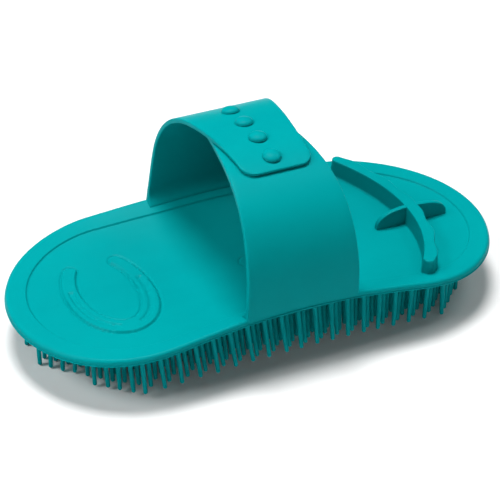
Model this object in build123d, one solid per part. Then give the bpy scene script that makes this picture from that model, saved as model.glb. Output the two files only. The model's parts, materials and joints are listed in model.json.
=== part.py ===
from build123d import *
import math
import os

# ---------------------------------------------------------------- driving dimensions, mm
PAD_LENGTH = 190.0
LOBE_RADIUS = 43.9          # round ends of the pad
WAIST_HALF_WIDTH = 42.5     # at the strap roots
WAIST_HALF_LENGTH = 22.5    # straight edge at the waist
PAD_THICKNESS = 2.6
TINE_LENGTH = 16.4
TINE_ROOT_RADIUS = 0.95
TINE_TIP_RADIUS = 0.8
PAD_TOP = TINE_LENGTH + PAD_THICKNESS   # tine tips stand on z = 0

CURL_HEIGHT = 8.45          # the strap pulls the sides of the waist up by this much
CURL_LENGTH = 59.0          # how fast the curl dies away along the pad

RIM_WIDTH = 7.6
FLOOR_DEPTH = 0.6           # the floor lies this far under the rim
GATE_MARK_RADIUS = 3.4
GATE_MARK_X = -2.0

TINE_PITCH_X = 6.75         # between tines of one row
ROW_PITCH = 3.1
ROWS_EACH_SIDE = 12         # of the middle row
STRIP_THICKNESS = 1.0       # the layer of the pad that carries the tines

RIB_CENTRE_X = 6.0
RIB_INNER_RADIUS = 58.1
RIB_OUTER_RADIUS = 62.65    # halfway between the swells and the hollows of the outer side
RIB_SWELL = 0.5
RIB_SWELL_ANGLE = 3.4       # the first swell on each side of the cross rib
RIB_SWELL_SPACING = 14.2
RIB_NEAR_ANGLE = 35.8
RIB_FAR_ANGLE = 37.8
RIB_HEIGHT = 6.9
RIB_CURL_SHARE = 0.6        # the rib's top curls up less than the pad

CROSS_RIB_START = 51.7
CROSS_RIB_END = 82.0
CROSS_RIB_HEIGHT = 7.4
CROSS_RIB_THICKNESS = 2.0

EMBLEM_X = -57.0
EMBLEM_HEIGHT = 0.5

HINGE_RADIUS = 1.25         # round bead at each strap root
HINGE_GAP = 0.2
HINGE_END_GAP = 0.4         # at each end of a strap root
HINGE_Z = PAD_TOP + 6.3
HINGE_Y = WAIST_HALF_WIDTH - 1.15

NEAR_THICKNESS = 2.2
FAR_THICKNESS = 1.9
FAR_END_THICKNESS = 1.2
NEAR_ROOT_HALF_WIDTH = 22.2
NEAR_END_HALF_WIDTH = 12.1
NEAR_NARROWING = 1.7        # above 1, the near half narrows late
FAR_ROOT_HALF_WIDTH = 25.8
FAR_END_HALF_WIDTH = 13.5
FAR_NARROWING = 1.3         # above 1, the far half narrows early
FAR_END_Y = -17.3
FAR_END_CORNER = 5.0
NEAR_END_Y = 27.0
STRAP_TOP = 51.1            # crest of the under layer, above the pad
STRAP_DRIFT = 1.0           # each half leans this far toward +X by its end
LAYER_GAP = 0.3

STUD_PITCH = 11.5
STUD_X = 0.4
STUD_FIRST_Y = -11.1
STUD_COUNT = 4
STUD_HEAD_RADIUS = 3.5
STUD_HEAD_HEIGHT = 1.8
STUD_BRIM = 0.5
STUD_CLEARANCE = 0.3
STUD_STEM_RADIUS = 1.9
STUD_HOLE_RADIUS = 2.3

# Outer face of the near half, from its root over the hand and down: y, then height above the pad.
NEAR_OUTER = [(-WAIST_HALF_WIDTH, 6.3), (-41.6, 20.0), (-37.8, 31.8), (-30.7, 41.7), (-18.5, 48.7),
              (0.0, STRAP_TOP), (14.0, 50.2), (NEAR_END_Y, 47.4)]
# Inner face of the far half from its root to where it meets the near half.
FAR_INNER = [(WAIST_HALF_WIDTH - FAR_THICKNESS, 6.3), (41.8, 20.0), (41.9, 30.6), (38.6, 38.8),
             (32.7, 44.7)]


# ---------------------------------------------------------------- pad
def curl(x, y):
    """Height of the pad's top surface."""
    return PAD_TOP + CURL_HEIGHT * (y / WAIST_HALF_WIDTH) ** 2 * math.exp(-(x / CURL_LENGTH) ** 2)


def surface_normal(x, y):
    """Unit normal of the top surface, pointing up."""
    rise = curl(x, y) - PAD_TOP
    slope_x = -2 * x / CURL_LENGTH ** 2 * rise
    slope_y = 2 * rise / y if y else 0.0
    return Vector(-slope_x, -slope_y, 1).normalized()


def layer(top, bottom, curl_share=1.0):
    """Slab between two copies of the top surface, at these offsets from it."""
    half_x, half_y, step = 100.0, 50.0, 10.0
    columns = [-half_x + step * i for i in range(int(2 * half_x / step) + 1)]
    rows = [-half_y + step * j for j in range(int(2 * half_y / step) + 1)]
    points = [[Vector(x, y, PAD_TOP + curl_share * (curl(x, y) - PAD_TOP) + bottom) for y in rows]
              for x in columns]
    face = Face.make_surface_from_array_of_points(points)
    return Solid.extrude(face, Vector(0, 0, top - bottom))


def pad_outline(inset):
    """Outline of the pad, drawn in by an inset: two round lobes and a slightly narrower waist."""
    radius = LOBE_RADIUS - inset
    centre = PAD_LENGTH / 2 - LOBE_RADIUS
    waist = WAIST_HALF_WIDTH - inset
    lobes = Pos(-centre, 0) * Circle(radius) + Pos(centre, 0) * Circle(radius)
    tangent = math.radians(2.5)
    side_x = centre - radius * math.sin(tangent)
    side_y = radius * math.cos(tangent)
    body = Polygon(
        (-side_x, -side_y), (-WAIST_HALF_LENGTH, -waist), (WAIST_HALF_LENGTH, -waist), (side_x, -side_y),
        (side_x, side_y), (WAIST_HALF_LENGTH, waist), (-WAIST_HALF_LENGTH, waist), (-side_x, side_y),
        align=None)
    return lobes + body


def prism(sketch, low=0.0, high=120.0):
    """The sketch on the XY plane, extruded from one height to another."""
    return extrude(Pos(0, 0, low) * sketch, high - low)


def hinge_groove(side, root_half_width):
    """Room in the pad's edge for a strap root: a round groove, open upwards and outwards."""
    radius = HINGE_RADIUS + HINGE_GAP
    length = 2 * (root_half_width + HINGE_END_GAP)
    groove = Pos(0, side * HINGE_Y, HINGE_Z) * Rot(0, 90, 0) * Cylinder(radius, length)
    above = Pos(0, side * (HINGE_Y + 5), HINGE_Z + 5) * Box(length, 2 * radius + 10, 10)
    outside = Pos(0, side * (HINGE_Y + 5), HINGE_Z) * Box(length, 10, 2 * radius)
    return groove + above + outside


def make_pad(tine_layer, rows):
    slab = layer(0, -PAD_THICKNESS) & prism(pad_outline(0))
    recess = layer(10, -FLOOR_DEPTH) & prism(pad_outline(RIM_WIDTH))
    ring = Circle(GATE_MARK_RADIUS + 0.2) - Circle(GATE_MARK_RADIUS - 0.2)
    gate_mark = prism(Pos(GATE_MARK_X, 0) * ring, PAD_TOP - FLOOR_DEPTH - 0.25, PAD_TOP)
    strips = [strip_box(row) for row in rows]
    strip_room = tine_layer & strips[0].fuse(*strips[1:])
    grooves = hinge_groove(-1, NEAR_ROOT_HALF_WIDTH) + hinge_groove(1, FAR_ROOT_HALF_WIDTH)
    return slab - recess - gate_mark - grooves - strip_room


# ---------------------------------------------------------------- tines
def tines_in_row(row):
    """Tine positions along one row, in half pitches. The field's corners are cut on the diagonal."""
    distance = abs(row)
    if distance >= 8:
        last = 30 - distance
    elif distance >= 2:
        last = 28 - distance
    else:
        last = 24 + distance
    return range(-last, last + 1, 2)


def make_tine():
    """One tine pointing down from the origin, slightly tapered, with a round tip."""
    buried = STRIP_THICKNESS / 2
    shoulder = -(TINE_LENGTH - TINE_TIP_RADIUS)
    with BuildPart() as tine:
        with BuildSketch(Plane.XZ):
            with BuildLine():
                Polyline((0, shoulder - TINE_TIP_RADIUS), (0, buried), (TINE_ROOT_RADIUS, buried),
                         (TINE_TIP_RADIUS, shoulder))
                CenterArc((0, shoulder), TINE_TIP_RADIUS, 0, -90)
            make_face()
        revolve(axis=Axis.Z)
    return tine.part


def strip_box(row):
    """Room for the strip of the pad's under layer that carries one row."""
    last = tines_in_row(row)[-1] * TINE_PITCH_X / 2
    length = 2 * (last + 2 * TINE_ROOT_RADIUS)
    return Pos(0, row * ROW_PITCH, PAD_TOP) * Box(length, ROW_PITCH, 40)


def make_tine_row(row, tine_layer, tine):
    """A strip of the pad's under layer with the tines that stand on it."""
    y = row * ROW_PITCH
    strip = tine_layer & strip_box(row)
    tines = []
    for i in tines_in_row(row):
        x = i * TINE_PITCH_X / 2
        root = Vector(x, y, curl(x, y) - PAD_THICKNESS)
        plane = Plane(origin=root, x_dir=(1, 0, 0), z_dir=surface_normal(x, y))
        tines.append(plane.location * tine)
    return strip.fuse(*tines)


# ---------------------------------------------------------------- ribs and emblem
def make_cross_rib(floor_space):
    """Half-moon rib along the comb: a superellipse dome standing on the floor."""
    middle = (CROSS_RIB_START + CROSS_RIB_END) / 2
    half = (CROSS_RIB_END - CROSS_RIB_START) / 2
    floor = PAD_TOP - FLOOR_DEPTH
    points = []
    for i in range(13):
        angle = math.pi * i / 12
        flat = abs(math.cos(angle)) ** 0.85
        points.append((middle + math.copysign(half * flat, math.cos(angle)),
                       floor + CROSS_RIB_HEIGHT * math.sin(angle) ** 0.85))
    with BuildPart() as rib:
        with BuildSketch(Plane.XZ):
            with BuildLine():
                Spline(points)
                Polyline(points[-1], (points[-1][0], floor - 1), (points[0][0], floor - 1), points[0])
            make_face()
        extrude(amount=CROSS_RIB_THICKNESS / 2, both=True)
    return rib.part & floor_space


def rib_outer_radius(angle):
    """The outer side swells between the fingers that rest on it, alike on both sides."""
    phase = 2 * math.pi * (abs(angle) - RIB_SWELL_ANGLE) / RIB_SWELL_SPACING
    return RIB_OUTER_RADIUS + RIB_SWELL * math.cos(phase)


def rib_point(radius, angle):
    turn = math.radians(angle)
    return Vector(RIB_CENTRE_X + radius * math.cos(turn), radius * math.sin(turn))


def rib_end(angle, side):
    """Outer corner, tip and inner corner of one round end of the rib."""
    outer = rib_point(rib_outer_radius(angle), angle)
    inner = rib_point(RIB_INNER_RADIUS, angle)
    along = side * (rib_point(1, angle + 90) - rib_point(0, 0))
    return outer, (outer + inner) / 2 + along * ((outer - inner).length / 2), inner


def rib_outline():
    """Curved rib seen from above: a round inner side, a wavy outer side and round ends."""
    count = 20
    span = RIB_NEAR_ANGLE + RIB_FAR_ANGLE
    angles = [span * i / count - RIB_NEAR_ANGLE for i in range(count + 1)]
    near_outer, near_tip, near_inner = rib_end(-RIB_NEAR_ANGLE, -1)
    far_outer, far_tip, far_inner = rib_end(RIB_FAR_ANGLE, 1)
    with BuildSketch() as outline:
        with BuildLine():
            Spline([rib_point(rib_outer_radius(angle), angle) for angle in angles])
            ThreePointArc(far_outer, far_tip, far_inner)
            ThreePointArc(far_inner, rib_point(RIB_INNER_RADIUS, 0), near_inner)
            ThreePointArc(near_inner, near_tip, near_outer)
        make_face()
    return outline.sketch


def make_finger_rib(floor_space, cross_rib, pad):
    """Curved rib that the fingers push against, cut in two by the cross rib."""
    room = floor_space & layer(RIB_HEIGHT, -20, RIB_CURL_SHARE)
    rib = prism(rib_outline()) & room
    halves = rib - cross_rib - pad
    return {side: halves & Pos(0, sign * 60, PAD_TOP) * Box(300, 120, 100)
            for side, sign in (("near", -1), ("far", 1))}


def make_emblem():
    """Plain horseshoe in low relief on the floor."""
    shoe = Ellipse(16.5, 25) - Pos(0, 3) * Ellipse(10.5, 19.5)
    shoe -= Pos(0, 30) * Rectangle(20, 26)
    for angle in (-40, -15, 15, 40):
        for side in (-1, 1):
            turn = math.radians(90 - angle) * side
            spot = Pos(13.3 * math.sin(turn), 1.5 - 22 * math.cos(turn))
            shoe -= spot * Circle(1.0)
    outline = Pos(EMBLEM_X, 0) * shoe
    return layer(EMBLEM_HEIGHT - FLOOR_DEPTH, -FLOOR_DEPTH) & prism(outline)


# ---------------------------------------------------------------- strap
def arch(points, end_direction):
    """Smooth curve across the comb through these points, leaving the root straight up."""
    start_direction = (0, 0, 1)
    return Spline([Vector(0, *point) for point in points], tangents=[start_direction, end_direction])


def outward(path, t, side):
    """Direction away from the hand at a point of a strap path that starts at this side's root."""
    return (path % t).cross(Vector(1, 0, 0)).normalized() * side


def parameter_at_y(path, y):
    """Where a strap path crosses this y, found by halving."""
    low, high = 0.0, 1.0
    rising = (path @ 1).Y > (path @ 0).Y
    for _ in range(40):
        middle = (low + high) / 2
        if ((path @ middle).Y < y) == rising:
            low = middle
        else:
            high = middle
    return low


def near_path():
    points = [(y, PAD_TOP + z) for y, z in NEAR_OUTER]
    return arch(points, (0, 0.95, -0.31))


def far_path(near):
    """The far half's inner face: up from its root, then along the near half to the tab's end."""
    points = [(y, PAD_TOP + z) for y, z in FAR_INNER]
    for y in (26.0, 20.0, 12.0, 4.0, -6.0, -13.0, FAR_END_Y):
        t = parameter_at_y(near, y)
        spot = near @ t + outward(near, t, -1) * LAYER_GAP
        points.append((spot.Y, spot.Z))
    last = near % parameter_at_y(near, FAR_END_Y)
    return arch(points, (0, -last.Y, -last.Z))


def band(path, side, offset_side, thickness, half_width):
    """Strap half lofted through cross sections that lie on one side of its path."""
    sections = []
    count = 16
    for i in range(count + 1):
        t = i / count
        shift = outward(path, t, side) * (offset_side * thickness(t) / 2) + Vector(STRAP_DRIFT * t, 0, 0)
        plane = Plane(origin=path @ t + shift, x_dir=(1, 0, 0), z_dir=path % t)
        sections.append(plane * Rectangle(2 * half_width(t), thickness(t)))
    return loft(sections)


def hinge_bead(side, half_width):
    return Pos(0, side * HINGE_Y, HINGE_Z) * Rot(0, 90, 0) * Cylinder(HINGE_RADIUS, 2 * half_width)


def make_near_strap(path):
    def half_width(t):
        return NEAR_ROOT_HALF_WIDTH - (NEAR_ROOT_HALF_WIDTH - NEAR_END_HALF_WIDTH) * t ** NEAR_NARROWING

    strap = band(path, -1, -1, lambda t: NEAR_THICKNESS, half_width)
    return strap + hinge_bead(-1, NEAR_ROOT_HALF_WIDTH)


def make_far_strap(path, stud_planes):
    def half_width(t):
        flare = (FAR_ROOT_HALF_WIDTH - FAR_END_HALF_WIDTH) * (1 - t) ** FAR_NARROWING
        return FAR_END_HALF_WIDTH + flare

    def thickness(t):
        thinning = max(0.0, (t - 0.7) / 0.3)
        return FAR_THICKNESS + (FAR_END_THICKNESS - FAR_THICKNESS) * thinning

    strap = band(path, 1, 1, thickness, half_width)
    corners = strap.edges().filter_by(lambda edge: edge.length < 2 * FAR_END_THICKNESS)
    corners = corners.sort_by(Axis.Y)[:2]
    strap = fillet(corners, FAR_END_CORNER)
    for plane in stud_planes:
        strap -= plane.location * Cylinder(STUD_HOLE_RADIUS, 12)
    return strap + hinge_bead(1, FAR_ROOT_HALF_WIDTH)


def stud_planes(path):
    """Where each stud stands on the near half's outer face."""
    planes = []
    for i in range(STUD_COUNT):
        t = parameter_at_y(path, STUD_FIRST_Y + i * STUD_PITCH)
        spot = path @ t + Vector(STUD_X, 0, 0)
        planes.append(Plane(origin=spot, x_dir=(1, 0, 0), z_dir=outward(path, t, -1)))
    return planes


def make_stud():
    """One button stud standing on the origin: a stem, a thin brim and a domed head."""
    under_head = LAYER_GAP + FAR_THICKNESS + STUD_CLEARANCE
    brim_top = under_head + STUD_BRIM
    top = under_head + STUD_HEAD_HEIGHT
    dome_radius = STUD_HEAD_RADIUS - 0.25
    with BuildPart() as stud:
        with BuildSketch(Plane.XZ):
            with BuildLine():
                Polyline((dome_radius, brim_top), (STUD_HEAD_RADIUS, brim_top),
                         (STUD_HEAD_RADIUS, under_head), (STUD_STEM_RADIUS, under_head),
                         (STUD_STEM_RADIUS, -1), (0, -1), (0, top))
                Spline((0, top), (dome_radius * 0.7, top - 0.35), (dome_radius, brim_top),
                       tangents=[(1, 0), (0, -1)])
            make_face()
        revolve(axis=Axis.Z)
    return stud.part


def make_studs(planes, near_strap):
    stud = make_stud()
    return Compound([(plane.location * stud - near_strap).solids()[0] for plane in planes])


# ---------------------------------------------------------------- build
def main():
    os.makedirs("parts", exist_ok=True)
    nodes = {}

    tine_layer = layer(STRIP_THICKNESS - PAD_THICKNESS, -PAD_THICKNESS)
    tine = make_tine()
    rows = range(-ROWS_EACH_SIDE, ROWS_EACH_SIDE + 1)
    for number, row in enumerate(rows, start=1):
        nodes[f"tine_row_{number:02d}"] = make_tine_row(row, tine_layer, tine)
    nodes["pad"] = make_pad(tine_layer, rows)

    floor_space = layer(20, -FLOOR_DEPTH)
    cross_rib = make_cross_rib(floor_space)
    nodes["cross_rib"] = cross_rib
    for half, rib in make_finger_rib(floor_space, cross_rib, nodes["pad"]).items():
        nodes[f"finger_rib_{half}"] = rib
    nodes["emblem"] = make_emblem()

    near = near_path()
    planes = stud_planes(near)
    nodes["near_strap"] = make_near_strap(near)
    nodes["far_strap"] = make_far_strap(far_path(near), planes)
    nodes["strap_studs"] = make_studs(planes, nodes["near_strap"])

    for name, shape in nodes.items():
        export_step(shape, f"parts/{name}.step")
        print(name, len(shape.solids()), "solid(s)", round(shape.volume, 1), "mm3")


main()
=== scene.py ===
import json
import math
import random

import bpy
import numpy as np
from mathutils import Matrix, Vector

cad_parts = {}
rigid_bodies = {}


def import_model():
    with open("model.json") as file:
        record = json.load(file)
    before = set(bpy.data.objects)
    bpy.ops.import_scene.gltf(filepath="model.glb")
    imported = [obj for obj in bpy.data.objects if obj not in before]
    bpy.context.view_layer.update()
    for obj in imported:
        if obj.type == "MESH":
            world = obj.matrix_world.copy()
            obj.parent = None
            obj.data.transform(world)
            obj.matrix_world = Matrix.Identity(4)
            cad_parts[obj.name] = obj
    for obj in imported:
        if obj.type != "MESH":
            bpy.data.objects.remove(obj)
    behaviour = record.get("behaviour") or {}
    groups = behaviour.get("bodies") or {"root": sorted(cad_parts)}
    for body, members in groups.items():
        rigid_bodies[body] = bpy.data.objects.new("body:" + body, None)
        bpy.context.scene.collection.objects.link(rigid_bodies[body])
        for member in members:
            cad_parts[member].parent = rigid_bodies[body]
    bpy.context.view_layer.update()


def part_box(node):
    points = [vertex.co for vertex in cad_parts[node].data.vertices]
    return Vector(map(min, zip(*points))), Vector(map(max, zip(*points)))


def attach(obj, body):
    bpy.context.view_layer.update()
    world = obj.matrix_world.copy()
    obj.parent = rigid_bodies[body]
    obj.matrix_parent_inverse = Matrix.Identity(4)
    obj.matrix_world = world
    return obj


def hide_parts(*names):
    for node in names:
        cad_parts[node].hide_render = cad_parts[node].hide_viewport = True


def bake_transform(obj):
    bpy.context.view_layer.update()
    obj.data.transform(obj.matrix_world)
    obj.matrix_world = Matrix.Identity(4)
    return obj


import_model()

# ---------------------------------------------------------------- dimensions
# Everything is modelled in units of U, a 190th of the pad's length: one millimetre.
PAD_LOW, PAD_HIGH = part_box("pad")
U = (PAD_HIGH.x - PAD_LOW.x) / 190.0
HALF_LENGTH = PAD_HIGH.x / U
LOBE_RADIUS = 43.9
LOBE_CENTRE = HALF_LENGTH - LOBE_RADIUS
WAIST_HALF_WIDTH = 42.5
WAIST_HALF_LENGTH = 22.5
SIDE_ANGLE = math.radians(2.5)      # how far each lobe's arc runs past its widest point

PAD_THICKNESS = 2.6
PAD_TOP = PAD_LOW.z / U + PAD_THICKNESS
CURL_HEIGHT = 8.45
CURL_LENGTH = 59.0
RIM_WIDTH = 7.6
RIM_STEP_WIDTH = 0.5
FLOOR_DEPTH = 0.6
EDGE_RADIUS = 1.4
FLASH = 0.3                         # thin lip left by the mould along the under edge
GATE_RADIUS = 3.4
GATE_X = -2.0
GATE_DEPTH = 0.3

ROWS_EACH_SIDE = 12                 # of the middle row
ROW_PITCH = 3.1
TINE_PITCH = 6.75
TINE_LENGTH = 16.4
TINE_ROOT_RADIUS = 0.95
TINE_TIP_RADIUS = 0.8
TINE_FLARE = 0.7                    # radius of the fillet at each root
TINE_SUNK = 0.1                     # how far each root starts inside the pad
TINE_SIDES = 14
TINE_LEAN = 0.012                   # spread of the tip's sideways shift, as a share of the length
TINE_SEED = 11

RIB_CENTRE_X = 6.0
RIB_INNER = 58.1
RIB_OUTER = 62.65                   # halfway between the swells and hollows of the outer side
RIB_SWELL = 0.5
RIB_SWELL_ANGLE = 3.4
RIB_SWELL_SPACING = 14.2
RIB_NEAR_ANGLE = -35.8
RIB_FAR_ANGLE = 37.8
RIB_HEIGHT = 6.9
RIB_CURL_SHARE = 0.6                # the rib's top curls up less than the pad
RIB_DRAFT = 0.3                     # each side leans out by this much towards the floor
RIB_FLARE = 0.6
RIB_ROUNDING = 0.45
RIB_SUNK = 0.02                     # its foot goes this far below the pad's floor

CROSS_START, CROSS_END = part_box("cross_rib")[0].x / U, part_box("cross_rib")[1].x / U
CROSS_HALF_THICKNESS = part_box("cross_rib")[1].y / U
CROSS_HEIGHT = 7.4
CROSS_POWER = 0.8                   # of the half-moon's superellipse
CROSS_NORMAL_POWER = 1.2
CROSS_ROUNDING = 0.4
CROSS_SUNK = 0.3                    # its foot goes this far below the pad's floor

EMBLEM_X = (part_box("emblem")[0].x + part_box("emblem")[1].x) / 2 / U
EMBLEM_HEIGHT = 0.6
EMBLEM_OUTLINE = 0.35               # depth of the fine groove around it
SHOE_Y = 1.5
SHOE_RADIUS_X = 13.5                # of the ellipse along the middle of the band
SHOE_RADIUS_Y = 22.2
SHOE_SWEEP = 138                    # degrees from the toe to each heel
SHOE_TOE_HALF_WIDTH = 4.0
SHOE_HEEL_NARROWING = 1.5
SHOE_GROOVE = 0.75                  # share of the relief taken by the fuller groove
SHOE_GROOVE_HALF_WIDTH = 1.3
SHOE_GROOVE_START, SHOE_GROOVE_END = 14, 104
SHOE_NAIL_ANGLES = (28, 52, 76)
SHOE_NAIL_RADIUS = 1.0

HINGE_Z = 6.3                       # above the pad's top, like the strap profiles below
NEAR_THICKNESS = 2.2
FAR_THICKNESS = 1.9
FAR_TAB_THICKNESS = 1.2
FAR_THIN_FROM, FAR_THIN_SHARE = 0.7, 0.3
NEAR_ROOT_HALF_WIDTH = 22.2
NEAR_TAPER = 10.1                   # how much narrower its end is, on each side
NEAR_TAPER_POWER = 1.7
FAR_TAB_HALF_WIDTH = 13.5
FAR_SPREAD = 12.3                   # how much wider its root is, on each side
FAR_SPREAD_POWER = 1.3
LAYER_GAP = 0.3
FAR_TAB_Y = -17.3
NEAR_TAB_CORNER = 3.0
FAR_TAB_CORNER = 5.0
STRAP_EDGE = 0.45                   # rounding of the strap's edges
STRAP_DRIFT = 1.0                   # each half leans this far toward +X by its end
FILLET = 2.8                        # how far the strap's root spreads over the pad
FILLET_HEIGHT = 7.0
FILLET_SUNK = 1.2                   # it starts this far below the pad's surface
FILLET_POWER = 3.5
STRAP_CREST_FROM = 25               # the strap's upper part is above this height over the tine tips
TANGENT_STEP = 0.2                  # each way along a path, to find its direction

# Outer face of the near half and inner face of the far half: y, then height above the pad's top.
NEAR_OUTER = [(-42.5, 6.3), (-41.6, 20.0), (-37.8, 31.8), (-30.7, 41.7), (-18.5, 48.7), (0.0, 51.1),
              (14.0, 50.2), (27.0, 47.4)]
FAR_INNER = [(40.6, 6.3), (41.8, 20.0), (41.9, 30.6), (38.6, 38.8), (32.7, 44.7)]

STUD_X = 0.4
STUD_FIRST_Y = -11.1
STUD_PITCH = 11.5
STUD_COUNT = 4
STUD_HEAD_RADIUS = 3.5
STUD_HEAD_HEIGHT = 1.8
STUD_STEM_RADIUS = 1.9
STUD_CLEARANCE = 0.1                # under each head
HOLE_RADIUS = 2.3
HOLE_SIDES = 32
HOLE_CUT_LOW, HOLE_CUT_HIGH = -2.0, 6.0


# ---------------------------------------------------------------- mesh helpers
def make_object(name, vertices, faces, body, nodes=(), sharp_angle=40):
    """Mesh object from points in U, smooth except where faces meet at more than the sharp angle."""
    mesh = bpy.data.meshes.new(name)
    mesh.from_pydata((np.asarray(vertices, float) * U).tolist(), [], [list(map(int, f)) for f in faces])
    mesh.validate()
    mesh.shade_smooth()
    mesh.set_sharp_from_angle(angle=math.radians(sharp_angle))
    obj = bpy.data.objects.new(name, mesh)
    bpy.context.scene.collection.objects.link(obj)
    if body:
        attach(obj, body)
    if nodes:
        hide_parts(*nodes)
    return obj


def grid_faces(rows, columns, wrap_columns=False, start=0):
    """Quads of a grid whose vertices are numbered row by row."""
    faces = []
    last = columns if wrap_columns else columns - 1
    for i in range(rows - 1):
        for j in range(last):
            k = (j + 1) % columns
            faces.append((start + i * columns + j, start + i * columns + k,
                          start + (i + 1) * columns + k, start + (i + 1) * columns + j))
    return faces


def merged(vertices, faces, tolerance=1e-4):
    """The same mesh with coincident points joined and collapsed faces dropped."""
    keys = np.round(np.asarray(vertices) / tolerance).astype(np.int64)
    _, first, inverse = np.unique(keys, axis=0, return_index=True, return_inverse=True)
    inverse = inverse.ravel()
    kept = []
    for face in faces:
        ring = []
        for corner in (inverse[v] for v in face):
            if not ring or ring[-1] != corner:
                ring.append(corner)
        if ring[0] == ring[-1]:
            ring.pop()
        if len(set(ring)) >= 3:
            kept.append(ring)
    return np.asarray(vertices)[first], kept


def smoothstep(t):
    """From 0 to 1 with level ends, for t from 0 to 1."""
    t = np.clip(t, 0, 1)
    return t * t * (3 - 2 * t)


# ---------------------------------------------------------------- pad
def curl(x, y):
    """Height of the pad's top surface."""
    return PAD_TOP + CURL_HEIGHT * (y / WAIST_HALF_WIDTH) ** 2 * np.exp(-(x / CURL_LENGTH) ** 2)


def curl_normal(x, y):
    """Upward normal of that surface."""
    rise = curl(x, y) - PAD_TOP
    slope_x = -2 * x / CURL_LENGTH ** 2 * rise
    slope_y = 2 * rise / y if y else 0.0
    return Vector((-slope_x, -slope_y, 1)).normalized()


def pad_rays():
    """Points around the pad's outline, and for each the point of the centre line it looks at."""
    side_x = LOBE_CENTRE - LOBE_RADIUS * math.sin(SIDE_ANGLE)
    side_y = LOBE_RADIUS * math.cos(SIDE_ANGLE)
    sweep = math.pi / 2 + SIDE_ANGLE
    arc_points, spacing = 380, 0.5
    turns = np.linspace(-sweep, sweep, arc_points)
    right = [(LOBE_CENTRE + LOBE_RADIUS * math.cos(a), LOBE_RADIUS * math.sin(a)) for a in turns]
    corners = [(side_x, side_y), (WAIST_HALF_LENGTH, WAIST_HALF_WIDTH),
               (-WAIST_HALF_LENGTH, WAIST_HALF_WIDTH), (-side_x, side_y)]
    back = []
    for (x0, y0), (x1, y1) in zip(corners, corners[1:]):
        steps = int(abs(x1 - x0) / spacing)
        back += [(x0 + (x1 - x0) * i / steps, y0 + (y1 - y0) * i / steps) for i in range(1, steps)]
        back.append((x1, y1))
    back.pop()
    half = right + back
    outline = np.array(half + [(-x, -y) for x, y in half])
    centre = np.stack([np.clip(outline[:, 0], -LOBE_CENTRE, LOBE_CENTRE), np.zeros(len(outline))], 1)
    return outline, centre


def horseshoe(x, y):
    """Relief of a plain horseshoe: a tapering band with a fuller groove, nail holes and a fine outline."""
    turn = np.radians(np.linspace(-SHOE_SWEEP, SHOE_SWEEP, 2 * SHOE_SWEEP + 1))
    line_x = EMBLEM_X + SHOE_RADIUS_X * np.sin(turn)
    line_y = SHOE_Y - SHOE_RADIUS_Y * np.cos(turn)
    half_width = SHOE_TOE_HALF_WIDTH - SHOE_HEEL_NARROWING * (np.abs(turn) / turn[-1])
    relief = np.zeros_like(x)
    # the relief is zero away from the mark, so only points near it are worked out
    nearby = (np.abs(x - EMBLEM_X) < 20) & (np.abs(y) < 30)
    dx = x[nearby][:, None] - line_x
    dy = y[nearby][:, None] - line_y
    distance = np.hypot(dx, dy)
    closest = distance.argmin(1)
    d = distance.min(1)
    band = smoothstep((half_width[closest] - d) / 0.45)
    angle = np.degrees(np.abs(turn[closest]))
    fullered = smoothstep((angle - SHOE_GROOVE_START) / 4) * smoothstep((SHOE_GROOVE_END - angle) / 4)
    groove = SHOE_GROOVE * smoothstep((SHOE_GROOVE_HALF_WIDTH - d) / 0.6) * fullered
    for nail_angle in SHOE_NAIL_ANGLES:
        nail = np.radians(nail_angle)
        for side in (-1, 1):
            nail_x = EMBLEM_X + side * SHOE_RADIUS_X * math.sin(nail)
            nail_y = SHOE_Y - SHOE_RADIUS_Y * math.cos(nail)
            r = np.hypot(x[nearby] - nail_x, y[nearby] - nail_y)
            groove = np.maximum(groove, smoothstep((SHOE_NAIL_RADIUS - r) / 0.5))
    from_outline = np.abs(d - half_width[closest] - 0.35)
    outline = EMBLEM_OUTLINE * smoothstep((0.5 - from_outline) / 0.35)
    relief[nearby] = EMBLEM_HEIGHT * band * (1 - groove) - outline
    return relief


def top_height(x, y, inset):
    """Top surface of the pad: rounded edge, rim, step down to the floor, emblem and gate mark."""
    into_edge = EDGE_RADIUS - np.minimum(inset, EDGE_RADIUS)
    rounding = EDGE_RADIUS - np.sqrt(np.maximum(EDGE_RADIUS ** 2 - into_edge ** 2, 0))
    step = FLOOR_DEPTH * smoothstep((inset - RIM_WIDTH + RIM_STEP_WIDTH / 2) / RIM_STEP_WIDTH)
    from_gate = np.abs(np.hypot(x - GATE_X, y) - GATE_RADIUS)
    gate = GATE_DEPTH * smoothstep((0.5 - from_gate) / 0.4)
    return curl(x, y) - rounding - step - gate + horseshoe(x, y)


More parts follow.
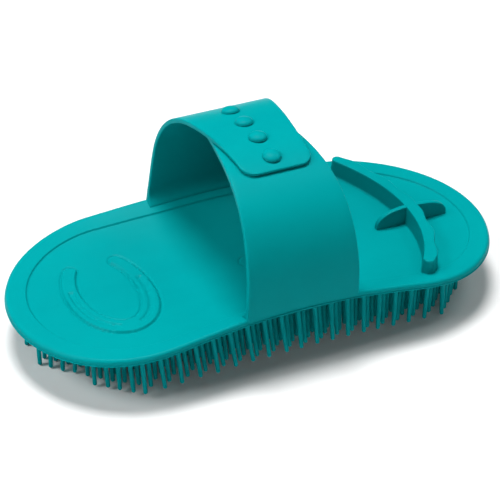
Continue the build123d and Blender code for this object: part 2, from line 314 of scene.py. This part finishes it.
def make_pad():
    """The pad with its rim, floor, mark and gate ring, closed below, as rings of points around it."""
    floor_rings, under_rings = 120, 24
    outline, centre = pad_rays()
    reach = np.hypot(*(outline - centre).T)
    edge = [EDGE_RADIUS * (1 - math.cos(math.radians(a))) for a in range(0, 90, 15)]
    rim = list(np.linspace(EDGE_RADIUS, RIM_WIDTH - 0.4, 8))
    step = list(np.linspace(RIM_WIDTH - 0.28, RIM_WIDTH + 0.28, 6))
    fractions = np.linspace(0, 1, floor_rings)[1:] ** 0.93
    columns = len(outline)
    rows = []
    for inset in edge + rim + step:
        t = (inset / reach)[:, None]
        rows.append((outline + (centre - outline) * t, np.full(columns, inset)))
    start = RIM_WIDTH + 0.3
    for f in fractions:
        inset = start + (reach - start) * f
        t = (inset / reach)[:, None]
        rows.append((outline + (centre - outline) * t, inset))
    top = [np.column_stack([p, top_height(p[:, 0], p[:, 1], inset)]) for p, inset in rows]
    under = []
    for f in np.linspace(1, 0, under_rings):
        p = outline + (centre - outline) * f
        under.append(np.column_stack([p, curl(p[:, 0], p[:, 1]) - PAD_THICKNESS]))
    # from the middle of the underside out to the edge, round its lip, up the side and in over the top
    away = np.column_stack([(outline - centre) / reach[:, None], np.zeros(columns)]) * FLASH
    lip = [under[-1] + away, under[-1] + away + (0, 0, FLASH), under[-1] + (0, 0, FLASH)]
    rings = under + lip + top
    vertices, faces = merged(np.concatenate(rings), grid_faces(len(rings), columns, wrap_columns=True))
    make_object("pad_skin", vertices, faces, "pad", ("pad", "emblem"), sharp_angle=50)


# ---------------------------------------------------------------- tines
def tines_in_row(row):
    """Tine positions along one row, in half pitches. The field's corners are cut on the diagonal."""
    distance = abs(row)
    if distance >= 8:
        last = 30 - distance
    elif distance >= 2:
        last = 28 - distance
    else:
        last = 24 + distance
    return range(-last, last + 1, 2)


def tine_profile():
    """Radius and distance along a tine, from its flared root to its round tip."""
    profile = []
    for a in range(0, 91, 30):
        turn = math.radians(a)
        radius = TINE_ROOT_RADIUS + TINE_FLARE * (1 - math.sin(turn))
        profile.append((radius, TINE_FLARE * (1 - math.cos(turn)) - TINE_SUNK))
    shoulder = TINE_LENGTH - TINE_TIP_RADIUS
    for f in (0.25, 0.5, 0.75):
        profile.append((TINE_ROOT_RADIUS + (TINE_TIP_RADIUS - TINE_ROOT_RADIUS) * f, shoulder * f))
    for a in range(0, 90, 18):
        turn = math.radians(a)
        profile.append((TINE_TIP_RADIUS * math.cos(turn), shoulder + TINE_TIP_RADIUS * math.sin(turn)))
    return profile


def make_tine_rows():
    """One piece for each row. Every tine stands square to the pad and leans a little at random."""
    turns = np.linspace(0, 2 * math.pi, TINE_SIDES, endpoint=False)
    circle = np.stack([np.cos(turns), np.sin(turns)], 1)
    profile = tine_profile()
    chance = random.Random(TINE_SEED)
    for number, row in enumerate(range(-ROWS_EACH_SIDE, ROWS_EACH_SIDE + 1), start=1):
        vertices, faces = [], []
        y = row * ROW_PITCH
        for i in tines_in_row(row):
            x = i * TINE_PITCH / 2
            root = Vector((x, y, curl(x, y) - PAD_THICKNESS))
            down = -curl_normal(x, y)
            lean = Vector((chance.gauss(0, TINE_LEAN), chance.gauss(0, TINE_LEAN), 0))
            across = down.orthogonal().normalized()
            other = down.cross(across)
            start = len(vertices)
            for radius, along in profile:
                bend = lean * (along / TINE_LENGTH) ** 2 * TINE_LENGTH
                middle = root + down * along + bend
                for c, s in circle:
                    vertices.append(middle + across * (radius * c) + other * (radius * s))
            faces += grid_faces(len(profile), TINE_SIDES, wrap_columns=True, start=start)
            tip = root + down * (TINE_LENGTH - 0.01) + lean * TINE_LENGTH
            vertices.append(tip)
            faces.append(tuple(range(start + TINE_SIDES - 1, start - 1, -1)))
            last_ring = start + (len(profile) - 1) * TINE_SIDES
            for j in range(TINE_SIDES):
                faces.append((last_ring + j, last_ring + (j + 1) % TINE_SIDES, len(vertices) - 1))
        points = np.array([tuple(v) for v in vertices])
        name = f"tines_{number:02d}"
        make_object(name, points, faces, "pad", (f"tine_row_{number:02d}",), sharp_angle=80)


# ---------------------------------------------------------------- ribs
def rib_outer_radius(angle):
    """The rib's outer side swells between the fingers; both halves are alike."""
    phase = 2 * math.pi * (abs(angle) - RIB_SWELL_ANGLE) / RIB_SWELL_SPACING
    return RIB_OUTER + RIB_SWELL * math.cos(phase)


def rib_side(middle, direction, half_width):
    """One side of the rib's section, from the floor up to its rounded top edge."""
    steps = 5
    foot = middle + direction * half_width
    floor = float(curl(foot.x, foot.y)) - FLOOR_DEPTH
    top = PAD_TOP + RIB_HEIGHT + RIB_CURL_SHARE * (float(curl(middle.x, middle.y)) - PAD_TOP)
    points = []
    for i in range(steps + 1):
        turn = math.pi / 2 * i / steps
        offset = half_width + RIB_DRAFT + RIB_FLARE * (1 - math.sin(turn))
        points.append((offset, floor - RIB_SUNK + RIB_FLARE * (1 - math.cos(turn))))
    for i in range(steps + 1):
        turn = math.pi / 2 * i / steps
        offset = half_width - RIB_ROUNDING * (1 - math.cos(turn))
        points.append((offset, top - RIB_ROUNDING * (1 - math.sin(turn))))
    return [middle + direction * offset + Vector((0, 0, z)) for offset, z in points]


def make_finger_rib(name, end_angle):
    """Half of the curved rib, from the cross rib to its round end."""
    stations, end_steps = 70, 8
    sign = math.copysign(1, end_angle)
    centre = Vector((RIB_CENTRE_X, 0, 0))
    sides = []
    for angle in np.linspace(0, end_angle, stations):
        radial = Vector((math.cos(math.radians(angle)), math.sin(math.radians(angle)), 0))
        outer = rib_outer_radius(angle)
        middle = centre + radial * ((RIB_INNER + outer) / 2)
        half = (outer - RIB_INNER) / 2
        sides.append((rib_side(middle, radial, half), rib_side(middle, -radial, half)))
    along = Vector((-radial.y, radial.x, 0)) * sign
    # round the end: the two sides turn about the last section's middle until they meet
    for i in range(1, end_steps + 1):
        turn = math.pi / 2 * i / end_steps
        forward = along * math.sin(turn)
        sides.append((rib_side(middle, radial * math.cos(turn) + forward, half),
                      rib_side(middle, -radial * math.cos(turn) + forward, half)))
    rings = [outer + inner[::-1] for outer, inner in sides]
    columns = len(rings[0])
    vertices = [tuple(point) for ring in rings for point in ring]
    faces = grid_faces(len(rings), columns, wrap_columns=True)
    faces.append(tuple(range(columns)))
    if sign > 0:
        faces = [face[::-1] for face in faces]
    points, faces = merged(vertices, faces)
    make_object(name, points, faces, "pad", (name.replace("_skin", ""),), sharp_angle=75)


def make_cross_rib():
    """Half-moon rib along the comb: a superellipse with rounded top edges, its foot sunk in the floor."""
    stations, corner_steps = 48, 5
    floor = PAD_TOP - FLOOR_DEPTH
    middle = (CROSS_START + CROSS_END) / 2
    half = (CROSS_END - CROSS_START) / 2
    rings = []
    for i in range(stations + 1):
        turn = math.pi * i / stations
        c, s = math.cos(turn), math.sin(turn)
        x = middle - math.copysign(half * abs(c) ** CROSS_POWER, c)
        height = CROSS_HEIGHT * max(s, 0) ** CROSS_POWER
        normal_x = -math.copysign(abs(c) ** CROSS_NORMAL_POWER, c) / half
        normal_z = max(s, 0) ** CROSS_NORMAL_POWER / CROSS_HEIGHT
        normal = Vector((normal_x, 0, normal_z)).normalized()
        ring = []
        for k in range(-corner_steps - 1, corner_steps + 2):
            side = math.copysign(1, k) if k else 0
            a = math.radians(min(abs(k), corner_steps) / corner_steps * 90) if k else 0
            drop = CROSS_ROUNDING * (1 - math.cos(a))
            across = side * (CROSS_HALF_THICKNESS - CROSS_ROUNDING * (1 - math.sin(a)))
            if abs(k) > corner_steps:
                spot = Vector((x, side * CROSS_HALF_THICKNESS, floor - CROSS_SUNK))
            else:
                spot = Vector((x, across, floor + height)) - normal * drop
                spot.z = max(spot.z, floor - CROSS_SUNK)
            ring.append(tuple(spot))
        rings.append(ring)
    faces = grid_faces(len(rings), len(rings[0]), wrap_columns=True)
    points, faces = merged([p for ring in rings for p in ring], faces)
    make_object("cross_rib_skin", points, faces, "pad", ("cross_rib",), sharp_angle=60)


# ---------------------------------------------------------------- strap
class Path:
    """Smooth curve in the YZ plane through given points, with given end directions."""

    def __init__(self, points, start_direction, end_direction, samples=400):
        p = np.array(points, float)
        knots = np.concatenate([[0], np.cumsum(np.hypot(*np.diff(p, axis=0).T))])
        slopes = self._slopes(p, knots, np.array(start_direction, float), np.array(end_direction, float))
        u = np.linspace(0, knots[-1], samples)
        k = np.clip(np.searchsorted(knots, u, side="right") - 1, 0, len(knots) - 2)
        h = (knots[k + 1] - knots[k])[:, None]
        t = ((u - knots[k])[:, None]) / h
        self.points = ((2 * t ** 3 - 3 * t ** 2 + 1) * p[k] + (t ** 3 - 2 * t ** 2 + t) * h * slopes[k]
                       + (3 * t ** 2 - 2 * t ** 3) * p[k + 1] + (t ** 3 - t ** 2) * h * slopes[k + 1])
        steps = np.hypot(*np.diff(self.points, axis=0).T)
        self.distance = np.concatenate([[0], np.cumsum(steps)])
        self.length = self.distance[-1]

    @staticmethod
    def _slopes(p, knots, first, last):
        """Slopes at the knots that make the cubic pieces meet with equal curvature."""
        n = len(p)
        h = np.diff(knots)
        matrix = np.eye(n)
        right = np.zeros((n, 2))
        right[0] = first / np.hypot(*first)
        right[-1] = last / np.hypot(*last)
        for i in range(1, n - 1):
            matrix[i, i - 1] = h[i]
            matrix[i, i] = 2 * (h[i - 1] + h[i])
            matrix[i, i + 1] = h[i - 1]
            right[i] = 3 * (h[i] * (p[i] - p[i - 1]) / h[i - 1] + h[i - 1] * (p[i + 1] - p[i]) / h[i])
        return np.linalg.solve(matrix, right)

    def _point(self, s):
        return np.array([np.interp(s, self.distance, self.points[:, i]) for i in (0, 1)])

    def at(self, s):
        """Position and unit direction at a distance along the curve; straight on past its ends."""
        inside = min(max(s, 0.0), self.length)
        before = self._point(max(inside - TANGENT_STEP, 0))
        after = self._point(min(inside + TANGENT_STEP, self.length))
        direction = after - before
        direction /= np.hypot(*direction)
        return self._point(inside) + direction * (s - inside), direction

    def distance_at_y(self, y):
        """Distance along the curve to where its upper part passes over y."""
        sign = 1 if self.points[-1, 0] > self.points[0, 0] else -1
        upper = self.points[:, 1] > STRAP_CREST_FROM
        return float(np.interp(sign * y, sign * self.points[upper, 0], self.distance[upper]))


def outward(direction, side):
    """Away from the hand, for a path that starts at this side's root."""
    return np.array([direction[1], -direction[0]]) * side


def near_path():
    """The near half's outer face, from its root over the hand."""
    points = [(y, PAD_TOP + z) for y, z in NEAR_OUTER]
    return Path(points, (0, 1), (0.95, -0.31))


def far_path(near):
    """The far half's inner face, which lies along the near half's outer face as far as its tab."""
    points = [(y, PAD_TOP + z) for y, z in FAR_INNER]
    for y in (26.0, 20.0, 12.0, 4.0, -6.0, -13.0, FAR_TAB_Y):
        position, direction = near.at(near.distance_at_y(y))
        points.append(tuple(position + outward(direction, -1) * LAYER_GAP))
    _, direction = near.at(near.distance_at_y(FAR_TAB_Y))
    return Path(points, (0, 1), -direction)


def strap_section(half_width, thickness, rounding, across=22, corner=4):
    """Closed outline of a strap's cross section: (across, out from the path)."""
    r = min(rounding, thickness / 2)
    flat = list(np.linspace(-half_width + r, half_width - r, across))
    points = [(x, thickness) for x in flat]
    for i in range(1, corner + 1):
        a = math.pi / 2 * (1 - i / corner)
        points.append((half_width - r + r * math.cos(a), thickness - r + r * math.sin(a)))
    for i in range(corner):
        a = -math.pi / 2 * i / corner
        points.append((half_width - r + r * math.cos(a), r + r * math.sin(a)))
    points += [(x, 0.0) for x in flat[::-1]]
    for i in range(1, corner + 1):
        a = -math.pi / 2 * (1 + i / corner)
        points.append((-half_width + r + r * math.cos(a), r + r * math.sin(a)))
    for i in range(corner):
        a = math.pi - math.pi / 2 * i / corner
        points.append((-half_width + r + r * math.cos(a), thickness - r + r * math.sin(a)))
    return points


def strap_mesh(path, side, inward, half_width, thickness, end_corner):
    """Rounded band along a path. Below its start it runs straight down to the pad's under edge."""
    root_drop = HINGE_Z - (CURL_HEIGHT - PAD_THICKNESS)
    end = path.length
    body = list(np.linspace(-root_drop, end - end_corner, 150))
    tail = [end - end_corner * (1 - math.sin(math.radians(a))) for a in np.linspace(0, 90, 16)[1:-1]]
    stations = body + tail + [end - STRAP_EDGE * f for f in (0.6, 0.3, 0.1, 0.0)]
    stations.sort()
    rings = []
    for s in stations:
        position, direction = path.at(s)
        out = outward(direction, side)
        width, thick = half_width(max(s, 0) / end), thickness(max(s, 0) / end)
        into_corner = max(0.0, s - (end - end_corner))
        width -= end_corner - math.sqrt(max(end_corner ** 2 - into_corner ** 2, 0))
        into_edge = max(0.0, s - (end - STRAP_EDGE))
        pinch = STRAP_EDGE - math.sqrt(max(STRAP_EDGE ** 2 - into_edge ** 2, 0))
        ring = []
        for x, o in strap_section(width - pinch, thick, STRAP_EDGE):
            depth = 1 - o / thick                           # 0 on the outer face, 1 on the inner face
            o += pinch * (1 - 2 * o / thick)
            if inward:
                o -= thick
            z = position[1] + out[1] * o
            if s < FILLET_HEIGHT:
                drop = curl(0, WAIST_HALF_WIDTH) - curl(x, WAIST_HALF_WIDTH)
                z -= float(drop) * (1 - smoothstep((s + root_drop) / (FILLET_HEIGHT + root_drop)))
            height = z - float(curl(x, WAIST_HALF_WIDTH)) + FILLET_SUNK
            fillet = FILLET * (1 - np.clip(height / FILLET_HEIGHT, 0, 1)) ** FILLET_POWER
            y = position[0] + out[0] * (o - fillet * smoothstep(depth))
            ring.append((x + STRAP_DRIFT * max(s, 0) / end, y, z))
        rings.append(ring)
    columns = len(rings[0])
    vertices = [p for ring in rings for p in ring]
    faces = grid_faces(len(rings), columns, wrap_columns=True)
    faces.append(tuple(range(columns))[::-1])
    last = (len(rings) - 1) * columns
    faces.append(tuple(range(last, last + columns)))
    if side > 0:
        faces = [f[::-1] for f in faces]
    return vertices, faces


def bend_with(obj):
    """Bakes the strap's placement into its mesh; the strap is not tied to any body."""
    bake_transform(obj)


def near_half_width(t):
    """The near half narrows from its root, where t is 0, to its end, where t is 1."""
    return NEAR_ROOT_HALF_WIDTH - NEAR_TAPER * t ** NEAR_TAPER_POWER


def near_thickness(t):
    return NEAR_THICKNESS


def far_half_width(t):
    """The far half spreads towards its root, t running as above."""
    return FAR_TAB_HALF_WIDTH + FAR_SPREAD * (1 - t) ** FAR_SPREAD_POWER


def far_thickness(t):
    """The far half thins over the last part of its length."""
    thinned = max(0.0, (t - FAR_THIN_FROM) / FAR_THIN_SHARE)
    return FAR_THICKNESS + (FAR_TAB_THICKNESS - FAR_THICKNESS) * thinned


def make_near_strap(path):
    vertices, faces = strap_mesh(path, -1, True, near_half_width, near_thickness, NEAR_TAB_CORNER)
    obj = make_object("near_strap_skin", vertices, faces, None, ("near_strap",), sharp_angle=60)
    bend_with(obj)


def make_far_strap(path, near):
    vertices, faces = strap_mesh(path, 1, False, far_half_width, far_thickness, FAR_TAB_CORNER)
    obj = make_object("far_strap_skin", vertices, faces, None, ("far_strap",), sharp_angle=60)
    punch_holes(obj, near)
    bend_with(obj)


def stud_frames(near):
    """Position and outward direction of each stud on the near half's outer face."""
    frames = []
    for i in range(STUD_COUNT):
        position, direction = near.at(near.distance_at_y(STUD_FIRST_Y + i * STUD_PITCH))
        out = outward(direction, -1)
        frames.append((Vector((STUD_X, position[0], position[1])), Vector((0, out[0], out[1]))))
    return frames


def ring_stack(profile, base, axis, sides=40):
    """Surface of revolution about an axis through base, from (radius, height) pairs."""
    across = Vector((1, 0, 0))
    other = axis.cross(across)
    vertices = []
    for radius, height in profile:
        middle = base + axis * height
        for j in range(sides):
            a = 2 * math.pi * j / sides
            vertices.append(middle + across * (radius * math.cos(a)) + other * (radius * math.sin(a)))
    return vertices, grid_faces(len(profile), sides, wrap_columns=True)


def punch_holes(obj, near):
    """Cuts the stud holes through the far half."""
    vertices, faces = [], []
    for base, axis in stud_frames(near):
        wall = [(HOLE_RADIUS, HOLE_CUT_LOW), (HOLE_RADIUS, HOLE_CUT_HIGH)]
        ring, quads = ring_stack(wall, base, axis, HOLE_SIDES)
        start = len(vertices)
        vertices += ring
        faces += [tuple(start + k for k in quad) for quad in quads]
        faces.append(tuple(range(start + HOLE_SIDES - 1, start - 1, -1)))
        faces.append(tuple(range(start + HOLE_SIDES, start + 2 * HOLE_SIDES)))
    cutter = make_object("hole_cutter", [tuple(v) for v in vertices], faces, "far_strap")
    modifier = obj.modifiers.new("holes", "BOOLEAN")
    modifier.object = cutter
    modifier.operation = "DIFFERENCE"
    modifier.solver = "EXACT"
    depsgraph = bpy.context.evaluated_depsgraph_get()
    mesh = bpy.data.meshes.new_from_object(obj.evaluated_get(depsgraph))
    obj.modifiers.clear()
    obj.data = mesh
    bpy.data.objects.remove(cutter)


def stud_profile(under):
    """Radius and height along a button stud: a stem, a thin brim and a domed head over height under."""
    stem, head = STUD_STEM_RADIUS, STUD_HEAD_RADIUS
    foot = [(0.0, -0.1), (stem + 0.5, -0.1), (stem + 0.12, 0.12), (stem, 0.5)]
    brim = [(stem, under - 0.15), (stem + 0.15, under), (head - 0.2, under), (head - 0.05, under + 0.08),
            (head, under + 0.2), (head - 0.06, under + 0.32)]
    profile = foot + brim
    dome_radius, dome_foot, dome_steps = head - 0.16, 0.34, 12
    for i in range(dome_steps):
        a = math.pi / 2 * i / dome_steps
        rise = (STUD_HEAD_HEIGHT - dome_foot) * math.sin(a)
        profile.append((dome_radius * math.cos(a), under + dome_foot + rise))
    profile.append((0.0, under + STUD_HEAD_HEIGHT))
    return profile


def make_studs(near, far):
    """The studs, each with its head seated on the far half where that is thickest under the head."""
    vertices, faces = [], []
    for i, (base, axis) in enumerate(stud_frames(near)):
        thickest = far.distance_at_y(STUD_FIRST_Y + i * STUD_PITCH + STUD_HEAD_RADIUS) / far.length
        under = LAYER_GAP + far_thickness(thickest) + STUD_CLEARANCE
        ring, quads = ring_stack(stud_profile(under), base, axis)
        start = len(vertices)
        vertices += [tuple(v) for v in ring]
        faces += [tuple(start + k for k in quad) for quad in quads]
    vertices, faces = merged(vertices, faces)
    make_object("strap_studs_skin", vertices, faces, "near_strap", ("strap_studs",), sharp_angle=50)


# ---------------------------------------------------------------- material
# Noise scales, per metre: flow marks about 35 mm apart, waves 17 mm, gloss patches 6 mm, grain 0.4 mm.
FLOW_SCALE = 28
WAVE_SCALE = 60
GLOSS_SCALE = 160
GRAIN_SCALE = 2600
FLOW_STRETCH = (0.5, 1.6, 1.0)
TEAL_LIGHT = (0.0, 0.26, 0.272, 1)
TEAL_DARK = (0.0, 0.242, 0.258, 1)
ROUGHNESS = 0.34


def plastic(name, light, dark, roughness):
    """Flexible moulded plastic: soft sheen, faint flow marks and a fine matte grain."""
    material = bpy.data.materials.new(name)
    material.use_nodes = True
    nodes, links = material.node_tree.nodes, material.node_tree.links
    shader = nodes["Principled BSDF"]
    shader.inputs["IOR"].default_value = 1.45
    shader.inputs["Specular IOR Level"].default_value = 0.02
    shader.inputs["Subsurface Weight"].default_value = 0.08
    shader.inputs["Subsurface Radius"].default_value = (0.2, 0.9, 1.0)
    shader.inputs["Subsurface Scale"].default_value = 0.002
    position = nodes.new("ShaderNodeTexCoord")

    def noise(scale, detail, stretch=(1, 1, 1)):
        mapping = nodes.new("ShaderNodeMapping")
        mapping.inputs["Scale"].default_value = stretch
        links.new(position.outputs["Object"], mapping.inputs["Vector"])
        texture = nodes.new("ShaderNodeTexNoise")
        texture.inputs["Scale"].default_value = scale
        texture.inputs["Detail"].default_value = detail
        links.new(mapping.outputs["Vector"], texture.inputs["Vector"])
        return texture.outputs["Fac"]

    def spread(value, low, high):
        span = nodes.new("ShaderNodeMapRange")
        span.inputs["From Min"].default_value = 0.3
        span.inputs["From Max"].default_value = 0.7
        span.inputs["To Min"].default_value = low
        span.inputs["To Max"].default_value = high
        links.new(value, span.inputs["Value"])
        return span.outputs["Result"]

    flow = noise(FLOW_SCALE, 3, FLOW_STRETCH)
    mix = nodes.new("ShaderNodeMix")
    mix.data_type = "RGBA"
    mix.inputs["A"].default_value = dark
    mix.inputs["B"].default_value = light
    links.new(spread(flow, 0.0, 1.0), mix.inputs["Factor"])
    links.new(mix.outputs["Result"], shader.inputs["Base Color"])

    gloss = noise(GLOSS_SCALE, 4)
    links.new(spread(gloss, roughness - 0.04, roughness + 0.05), shader.inputs["Roughness"])

    grain = nodes.new("ShaderNodeBump")
    grain.inputs["Strength"].default_value = 0.12
    grain.inputs["Distance"].default_value = 0.00008
    links.new(noise(GRAIN_SCALE, 2), grain.inputs["Height"])
    waves = nodes.new("ShaderNodeBump")
    waves.inputs["Strength"].default_value = 0.25
    waves.inputs["Distance"].default_value = 0.0004
    links.new(noise(WAVE_SCALE, 2), waves.inputs["Height"])
    links.new(grain.outputs["Normal"], waves.inputs["Normal"])
    links.new(waves.outputs["Normal"], shader.inputs["Normal"])
    return material


# ---------------------------------------------------------------- stage
# Name, place, diameter in metres and power in watts; all face the comb.
STUDIO_LIGHTS = [("top", (0.0, 0.6, 2.4), 1.0, 69.0), ("top_left", (-2.0, 0.25, 1.75), 1.5, 49.0),
                 ("top_right", (1.5, 0.3, 2.0), 1.2, 13.0), ("front", (-0.25, -2.25, 1.25), 1.8, 12.0)]
LIGHT_TARGET = (0, 0, 0.03)
WORLD_STRENGTH = 0.02
FLOOR_HALF_SIZE = 6.0               # metres
FLOOR_DROP = 0.0002                 # metres below the tine tips
FLOOR_COLOUR = (0.76, 0.76, 0.76, 1)

CAMERA_AZIMUTH = -26.2              # degrees, as are the next two
CAMERA_ELEVATION = 35.575
CAMERA_ROLL = 2.02
CAMERA_DISTANCE = 805.4             # from the middle of the pad's top, in U
CAMERA_RIGHT, CAMERA_UP = -1.08, 3.06
CAMERA_LENS = 155.4                 # focal length in millimetres, on a sensor this wide:
CAMERA_SENSOR = 36


def area_light(name, place, size, energy):
    """Round area light that faces the comb."""
    light = bpy.data.lights.new(name, "AREA")
    light.shape = "DISK"
    light.size = size
    light.energy = energy
    obj = bpy.data.objects.new(name, light)
    obj.location = place
    obj.rotation_euler = (Vector(LIGHT_TARGET) - Vector(place)).to_track_quat("-Z", "Y").to_euler()
    bpy.context.scene.collection.objects.link(obj)


def make_floor():
    size = FLOOR_HALF_SIZE
    mesh = bpy.data.meshes.new("floor")
    corners = [(-size, -size, 0), (size, -size, 0), (size, size, 0), (-size, size, 0)]
    mesh.from_pydata(corners, [], [(0, 1, 2, 3)])
    floor = bpy.data.objects.new("floor", mesh)
    floor.location.z = -FLOOR_DROP
    bpy.context.scene.collection.objects.link(floor)
    material = bpy.data.materials.new("floor")
    material.use_nodes = True
    shader = material.node_tree.nodes["Principled BSDF"]
    shader.inputs["Base Color"].default_value = FLOOR_COLOUR
    shader.inputs["Roughness"].default_value = 0.9
    floor.data.materials.append(material)


def make_world():
    world = bpy.data.worlds.new("studio")
    world.use_nodes = True
    background = world.node_tree.nodes["Background"]
    background.inputs["Color"].default_value = (1, 1, 1, 1)
    background.inputs["Strength"].default_value = WORLD_STRENGTH
    bpy.context.scene.world = world
    bpy.context.scene.view_settings.view_transform = "Standard"


def make_camera():
    """Camera at the photograph's viewing angle: about 36 degrees above, from the front left."""
    azimuth, elevation = math.radians(CAMERA_AZIMUTH), math.radians(CAMERA_ELEVATION)
    roll = math.radians(CAMERA_ROLL)
    turn = (Matrix.Rotation(azimuth, 4, "Z") @ Matrix.Rotation(math.pi / 2 - elevation, 4, "X")
            @ Matrix.Rotation(roll, 4, "Z"))
    place = turn.to_3x3() @ Vector((CAMERA_RIGHT * U, CAMERA_UP * U, CAMERA_DISTANCE * U))
    data = bpy.data.cameras.new("camera")
    data.sensor_width = CAMERA_SENSOR
    data.lens = CAMERA_LENS
    data.clip_end = 20
    camera = bpy.data.objects.new("camera", data)
    camera.matrix_world = Matrix.Translation(place + Vector((0, 0, PAD_TOP * U))) @ turn
    bpy.context.scene.collection.objects.link(camera)
    bpy.context.scene.camera = camera


# ---------------------------------------------------------------- build
make_pad()
make_tine_rows()
make_finger_rib("finger_rib_near_skin", RIB_NEAR_ANGLE)
make_finger_rib("finger_rib_far_skin", RIB_FAR_ANGLE)
make_cross_rib()
near = near_path()
make_near_strap(near)
far = far_path(near)
make_far_strap(far, near)
make_studs(near, far)

# every mesh so far belongs to the comb: its pieces, and the CAD nodes they stand for
teal = plastic("teal_plastic", TEAL_LIGHT, TEAL_DARK, ROUGHNESS)
for thing in bpy.data.objects:
    if thing.type == "MESH":
        thing.data.materials.clear()
        thing.data.materials.append(teal)

make_floor()
make_world()
for name, place, size, energy in STUDIO_LIGHTS:
    area_light(name, place, size, energy)
make_camera()
